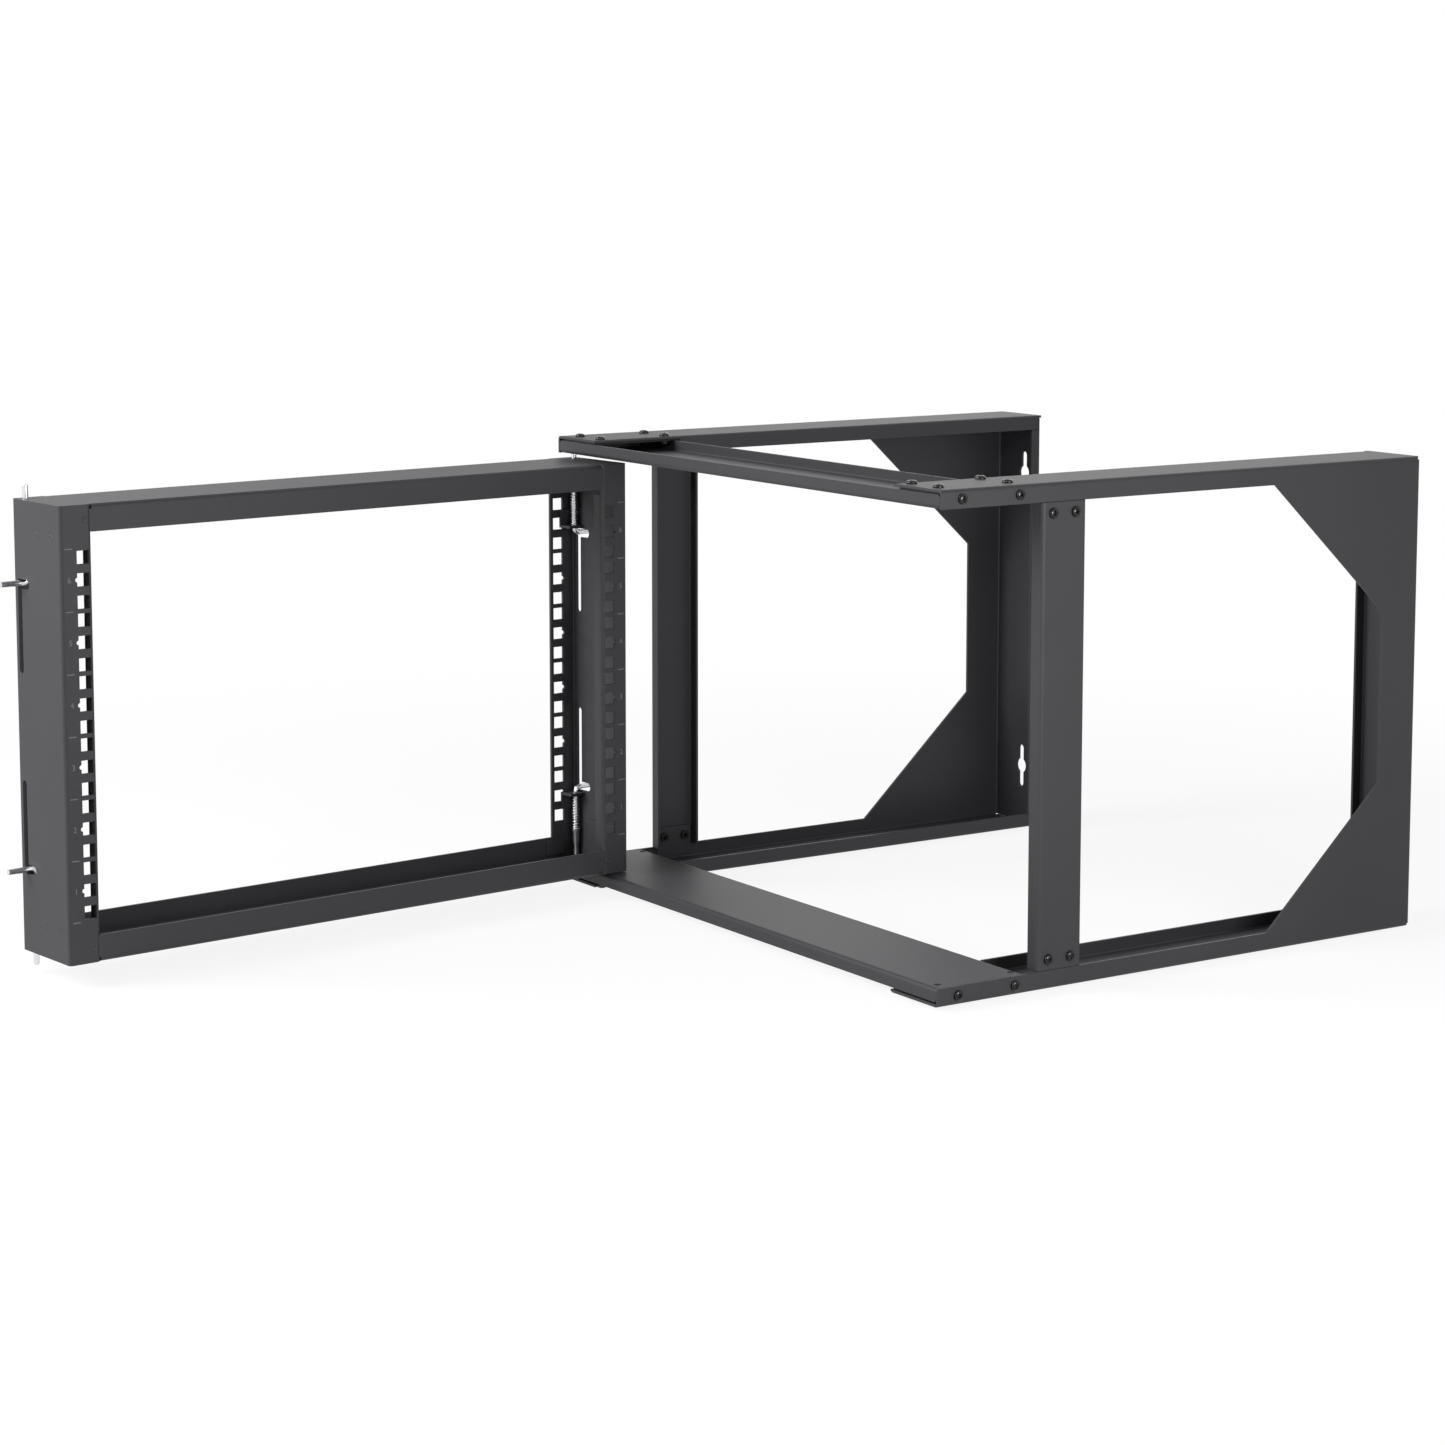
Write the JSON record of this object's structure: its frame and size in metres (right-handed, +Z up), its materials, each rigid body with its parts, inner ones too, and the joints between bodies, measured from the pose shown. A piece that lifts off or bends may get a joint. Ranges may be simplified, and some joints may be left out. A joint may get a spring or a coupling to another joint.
{
  "type": "wall mount open frame rack",
  "caption": "Open wall rack of folded sheet steel with slanted side windows and an equipment frame that swings out on spring pins.",
  "frame": {"origin": "middle of the four wall keyholes, on the wall plane", "axes": "+Y to the wall, +Z up, +X to the right of a person who faces the wall"},
  "size_m": [0.515, 0.9484, 0.365],
  "materials": {
    "powder_coat": "fine texture powder coat, semi-matt black",
    "zinc_rod": "bright zinc",
    "spring_wire": "bright wire",
    "black_screw": "black zinc, glossy",
    "nut_steel": "plain zinc"
  },
  "bodies": {
    "base": {"side_frame_left": "powder_coat", "side_frame_right": "powder_coat", "post_left": "powder_coat", "post_right": "powder_coat", "top_crossbar": "powder_coat", "bottom_crossbar": "powder_coat", "top_screws": "black_screw", "bottom_screws": "black_screw", "side_screws": "black_screw", "post_screws": "black_screw", "crossbar_nuts": "nut_steel", "post_nuts": "nut_steel"},
    "swing_frame": {"swing_upright_hinge": "powder_coat", "swing_upright_free": "powder_coat", "swing_top_rail": "powder_coat", "swing_bottom_rail": "powder_coat", "guide_hinge_top": "powder_coat", "guide_hinge_bottom": "powder_coat", "guide_free_top": "powder_coat", "guide_free_bottom": "powder_coat", "spring_hinge_top": "spring_wire", "spring_hinge_bottom": "spring_wire", "spring_free_top": "spring_wire", "spring_free_bottom": "spring_wire"},
    "hinge_top_pin": {"pin_hinge_top": "zinc_rod", "collar_hinge_top": "zinc_rod"},
    "hinge_bottom_pin": {"pin_hinge_bottom": "zinc_rod", "collar_hinge_bottom": "zinc_rod"},
    "free_top_pin": {"pin_free_top": "zinc_rod", "collar_free_top": "zinc_rod"},
    "free_bottom_pin": {"pin_free_bottom": "zinc_rod", "collar_free_bottom": "zinc_rod"}
  },
  "joints": [
    {"name": "swing_hinge", "type": "hinge", "parent": "base", "child": "swing_frame", "pos_m": [-0.244, -0.442, 0], "axis": [0, 0, -1], "range_deg": [-84, 96]},
    {"name": "hinge_top_pin_slide", "type": "slide", "parent": "swing_frame", "child": "hinge_top_pin", "axis": [0, 0, -1], "range_m": [0, 0.013], "stiffness_N_per_m": 400, "springref_m": -0.01, "deforming": ["spring_hinge_top"]},
    {"name": "hinge_bottom_pin_slide", "type": "slide", "parent": "swing_frame", "child": "hinge_bottom_pin", "axis": [0, 0, 1], "range_m": [0, 0.013], "stiffness_N_per_m": 400, "springref_m": -0.01, "deforming": ["spring_hinge_bottom"]},
    {"name": "free_top_pin_slide", "type": "slide", "parent": "swing_frame", "child": "free_top_pin", "axis": [0, 0, -1], "range_m": [0, 0.013], "stiffness_N_per_m": 400, "springref_m": -0.01, "deforming": ["spring_free_top"]},
    {"name": "free_bottom_pin_slide", "type": "slide", "parent": "swing_frame", "child": "free_bottom_pin", "axis": [0, 0, 1], "range_m": [0, 0.013], "stiffness_N_per_m": 400, "springref_m": -0.01, "deforming": ["spring_free_bottom"]}
  ]
}
